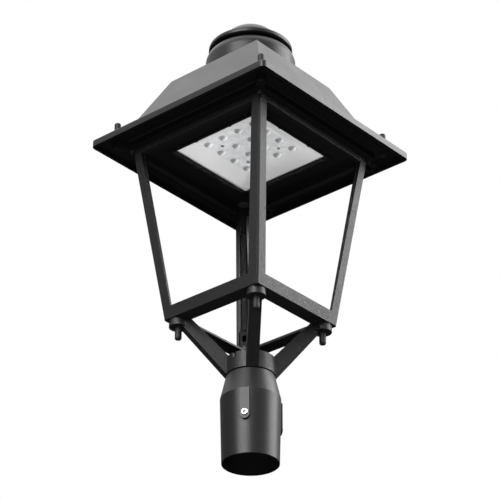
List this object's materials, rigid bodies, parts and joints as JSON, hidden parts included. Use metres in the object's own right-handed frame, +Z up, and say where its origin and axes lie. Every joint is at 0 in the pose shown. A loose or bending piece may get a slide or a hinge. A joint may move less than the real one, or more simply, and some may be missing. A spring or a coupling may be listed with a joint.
{
  "type": "post top lantern",
  "caption": "Four-sided open lantern head on a post socket, with a hinged hipped roof that holds a downward light engine behind flat glass.",
  "frame": {"origin": "centre of the post socket's open mouth, at the object's base", "axes": "+Z up along the post, the lantern's four sides lie along X and Y, the roof's hinge is on +Y and its closing screws on -Y"},
  "size_m": [0.42, 0.42, 0.9078],
  "materials": {
    "cast_paint": "fine-textured black powder coat on cast aluminium",
    "stainless": "plain stainless steel",
    "black_steel": "black finished stainless steel",
    "seal_rubber": "black silicone rubber",
    "clear_glass": "clear toughened flat glass",
    "white_reflector": "white painted sheet",
    "clear_lens": "clear moulded acrylic",
    "led_phosphor": "yellow phosphor",
    "white_board": "white solder mask",
    "bare_aluminium": "plain aluminium",
    "driver_case": "off-white moulded case",
    "guard_case": "dark grey moulded case",
    "terminal_case": "light grey moulded block"
  },
  "bodies": {
    "post_mount": {"post_socket": "cast_paint", "socket_bolts": "stainless", "spider": "cast_paint", "cage_studs": "black_steel", "lantern_cage": "cast_paint", "cage_top_screws": "black_steel", "cable_cover": "cast_paint", "gear_tray": "cast_paint", "cable_grommet": "seal_rubber", "tray_gasket": "seal_rubber", "glass_bezel": "cast_paint", "bezel_screws": "black_steel", "glass_pane": "clear_glass", "glass_gasket": "seal_rubber", "glass_clips": "stainless", "clip_screws": "stainless", "reflector": "white_reflector", "lens_plate": "clear_lens", "led_chips": "led_phosphor", "led_board": "white_board", "board_screws": "stainless", "heat_sink": "bare_aluminium", "sink_screws": "stainless", "gear_standoffs": "bare_aluminium", "gear_plate": "bare_aluminium", "led_driver": "driver_case", "surge_protector": "guard_case", "terminal_block": "terminal_case", "gear_screws": "stainless", "hinge_pin_left": "stainless", "hinge_pin_right": "stainless"},
    "roof": {"roof_shell": "cast_paint", "roof_stud_left": "black_steel", "roof_stud_right": "black_steel", "stud_nuts": "black_steel", "hinge_bracket_left": "black_steel", "hinge_bracket_right": "black_steel", "hinge_screws": "black_steel", "neck_gasket": "seal_rubber", "chimney_neck": "cast_paint", "neck_screws": "stainless", "chimney_cap": "cast_paint", "cap_tie_rod": "stainless", "cap_tie_nut": "stainless", "cap_tie_washer": "stainless"},
    "closing_left": {"closing_screw_left": "black_steel", "captive_ring_left": "stainless"},
    "closing_right": {"closing_screw_right": "black_steel", "captive_ring_right": "stainless"},
    "clamp_1": {"clamp_screw_1": "stainless"},
    "clamp_2": {"clamp_screw_2": "stainless"},
    "clamp_3": {"clamp_screw_3": "stainless"}
  },
  "joints": [
    {"name": "roof_hinge", "type": "hinge", "parent": "post_mount", "child": "roof", "pos_m": [0, 0.2, 0.633], "axis": [-1, 0, 0], "range_deg": [0, 100]},
    {"name": "closing_left_lift", "type": "slide", "parent": "roof", "child": "closing_left", "axis": [0, 0, 1], "range_m": [0, 0.007]},
    {"name": "closing_right_lift", "type": "slide", "parent": "roof", "child": "closing_right", "axis": [0, 0, 1], "range_m": [0, 0.007]},
    {"name": "clamp_1_drive", "type": "slide", "parent": "post_mount", "child": "clamp_1", "axis": [-0.5, -0.866, 0], "range_m": [0, 0.005]},
    {"name": "clamp_2_drive", "type": "slide", "parent": "post_mount", "child": "clamp_2", "axis": [1, 0, 0], "range_m": [0, 0.005]},
    {"name": "clamp_3_drive", "type": "slide", "parent": "post_mount", "child": "clamp_3", "axis": [-0.5, 0.866, 0], "range_m": [0, 0.005]}
  ]
}
